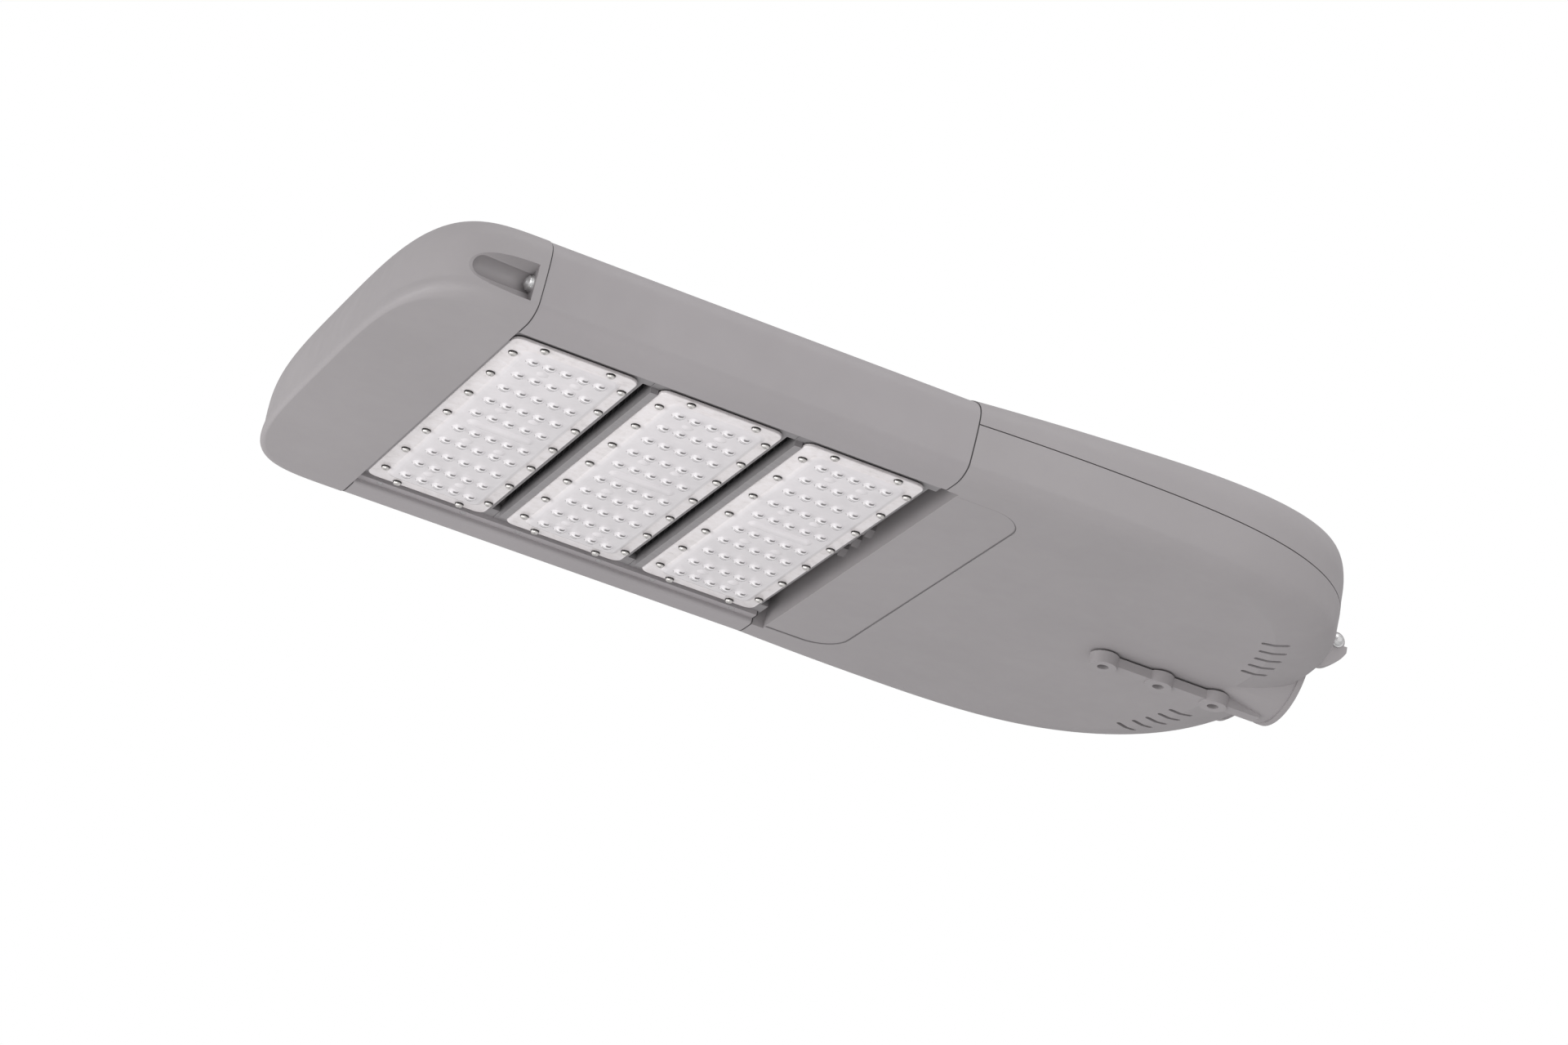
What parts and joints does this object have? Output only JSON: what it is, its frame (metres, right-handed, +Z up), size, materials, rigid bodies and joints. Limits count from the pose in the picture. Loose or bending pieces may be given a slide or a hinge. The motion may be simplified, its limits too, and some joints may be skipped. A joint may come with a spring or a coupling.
{
  "type": "led street light head",
  "caption": "Street light head with LED modules under clear lens plates between side rails, a finned top, a nose cap and a driver box with a pole socket.",
  "frame": {"origin": "centre of the pole socket's mouth", "axes": "+X along the socket, the way the pole leaves; +Z up, away from the lenses; +Y to the lamp's right as seen from the pole"},
  "size_m": [0.7115, 0.3751, 0.1092],
  "materials": {
    "cast_grey": "fine satin powder coat on die-cast aluminium",
    "rail_grey": "fine satin powder coat on extruded aluminium",
    "dark_aluminium": "dark anodised",
    "clear_lens": "clear moulded optical plastic over a white board",
    "board_white": "white solder mask with LEDs",
    "silicone": "matt",
    "black_rubber": "matt",
    "black_plastic": "matt",
    "white_plastic": "moulded",
    "bright_steel": "bright stainless",
    "sheet_steel": "zinc plated sheet",
    "driver_case": "potted metal case"
  },
  "bodies": {
    "root": {"nose_cap": "cast_grey", "rail_left": "rail_grey", "rail_right": "rail_grey", "nose_screws": "bright_steel", "nose_washers": "bright_steel", "module_screws": "bright_steel", "lead_boots": "black_rubber", "module_leads": "black_rubber", "wall_glands": "black_plastic", "driver_housing": "cast_grey", "cover_gasket": "black_rubber", "driver_cover": "cast_grey", "cover_screws": "bright_steel", "cover_washers": "bright_steel", "housing_screws": "bright_steel", "gear_tray": "sheet_steel", "tray_screws": "bright_steel", "led_driver": "driver_case", "driver_screws": "bright_steel", "surge_protector": "black_plastic", "terminal_block": "white_plastic", "cable_grommet": "black_rubber", "lens_plate_1": "clear_lens", "lens_gasket_1": "silicone", "led_board_1": "board_white", "heat_sink_1": "dark_aluminium", "lens_screws_1": "bright_steel", "lens_plate_2": "clear_lens", "lens_gasket_2": "silicone", "led_board_2": "board_white", "heat_sink_2": "dark_aluminium", "lens_screws_2": "bright_steel", "lens_plate_3": "clear_lens", "lens_gasket_3": "silicone", "led_board_3": "board_white", "heat_sink_3": "dark_aluminium", "lens_screws_3": "bright_steel"}
  },
  "joints": []
}
